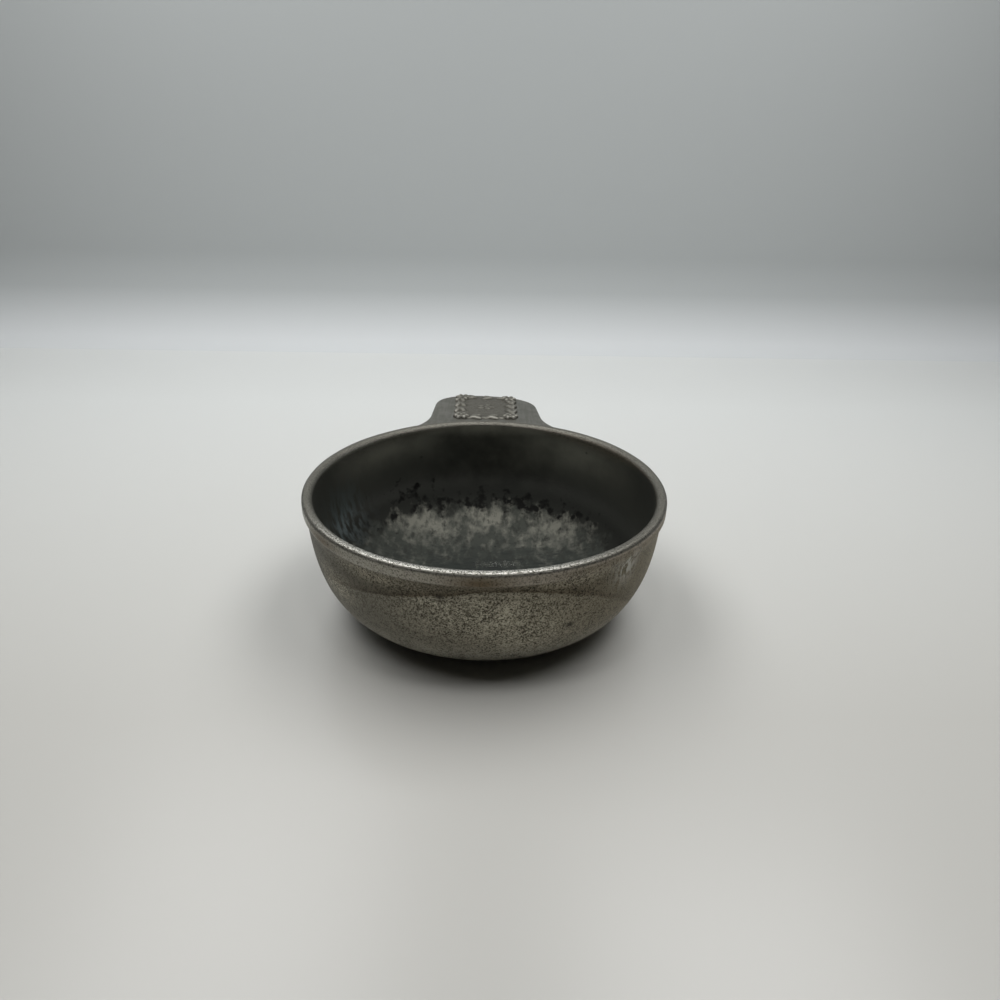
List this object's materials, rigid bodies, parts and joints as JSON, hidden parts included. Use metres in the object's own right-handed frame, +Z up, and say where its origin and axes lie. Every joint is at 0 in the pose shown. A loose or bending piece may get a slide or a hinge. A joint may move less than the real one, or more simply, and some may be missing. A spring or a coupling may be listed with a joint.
{
  "type": "baby bowl",
  "caption": "Child's round porringer bowl in cast pewter, with a banded lip and a flat tab handle that carries a small relief badge.",
  "frame": {"origin": "centre of the flat base that the bowl stands on", "axes": "+Z up out of the bowl's mouth, +Y from the bowl's axis out along the handle, +X to the right of the handle seen from above with the handle pointing away"},
  "size_m": [0.1148, 0.1507, 0.0439],
  "materials": {
    "bowl_pewter": "satin",
    "handle_pewter": "satin",
    "badge_pewter": "satin"
  },
  "bodies": {
    "root": {"bowl": "bowl_pewter", "handle": "handle_pewter", "handle_badge": "badge_pewter"}
  },
  "joints": []
}
